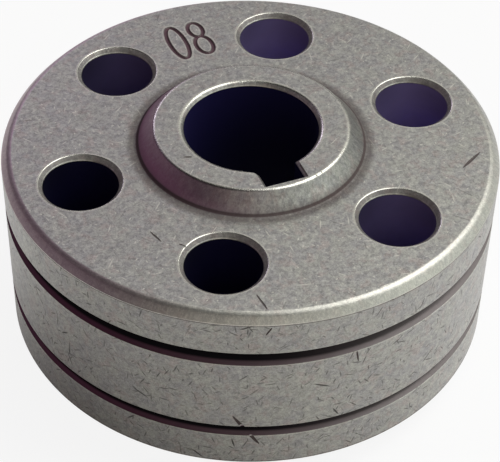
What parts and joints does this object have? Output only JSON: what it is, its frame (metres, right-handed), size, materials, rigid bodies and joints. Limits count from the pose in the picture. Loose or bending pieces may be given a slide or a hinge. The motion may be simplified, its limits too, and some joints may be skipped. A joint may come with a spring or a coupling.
{
  "type": "wire feed roller",
  "caption": "Thick steel disc with two V wire grooves round its rim, a low hub on each side, a keyed bore and a ring of round holes.",
  "frame": {"origin": "middle of the roller, on the axis of the bore and halfway between the two wire grooves", "axes": "+Z along the bore, towards the side with the wider wire groove; -Y towards the keyway"},
  "size_m": [0.037, 0.037, 0.0184],
  "materials": {
    "roller_steel": "satin, hardened and tumbled, with fine scratches"
  },
  "bodies": {
    "root": {"roller": "roller_steel"}
  },
  "joints": []
}
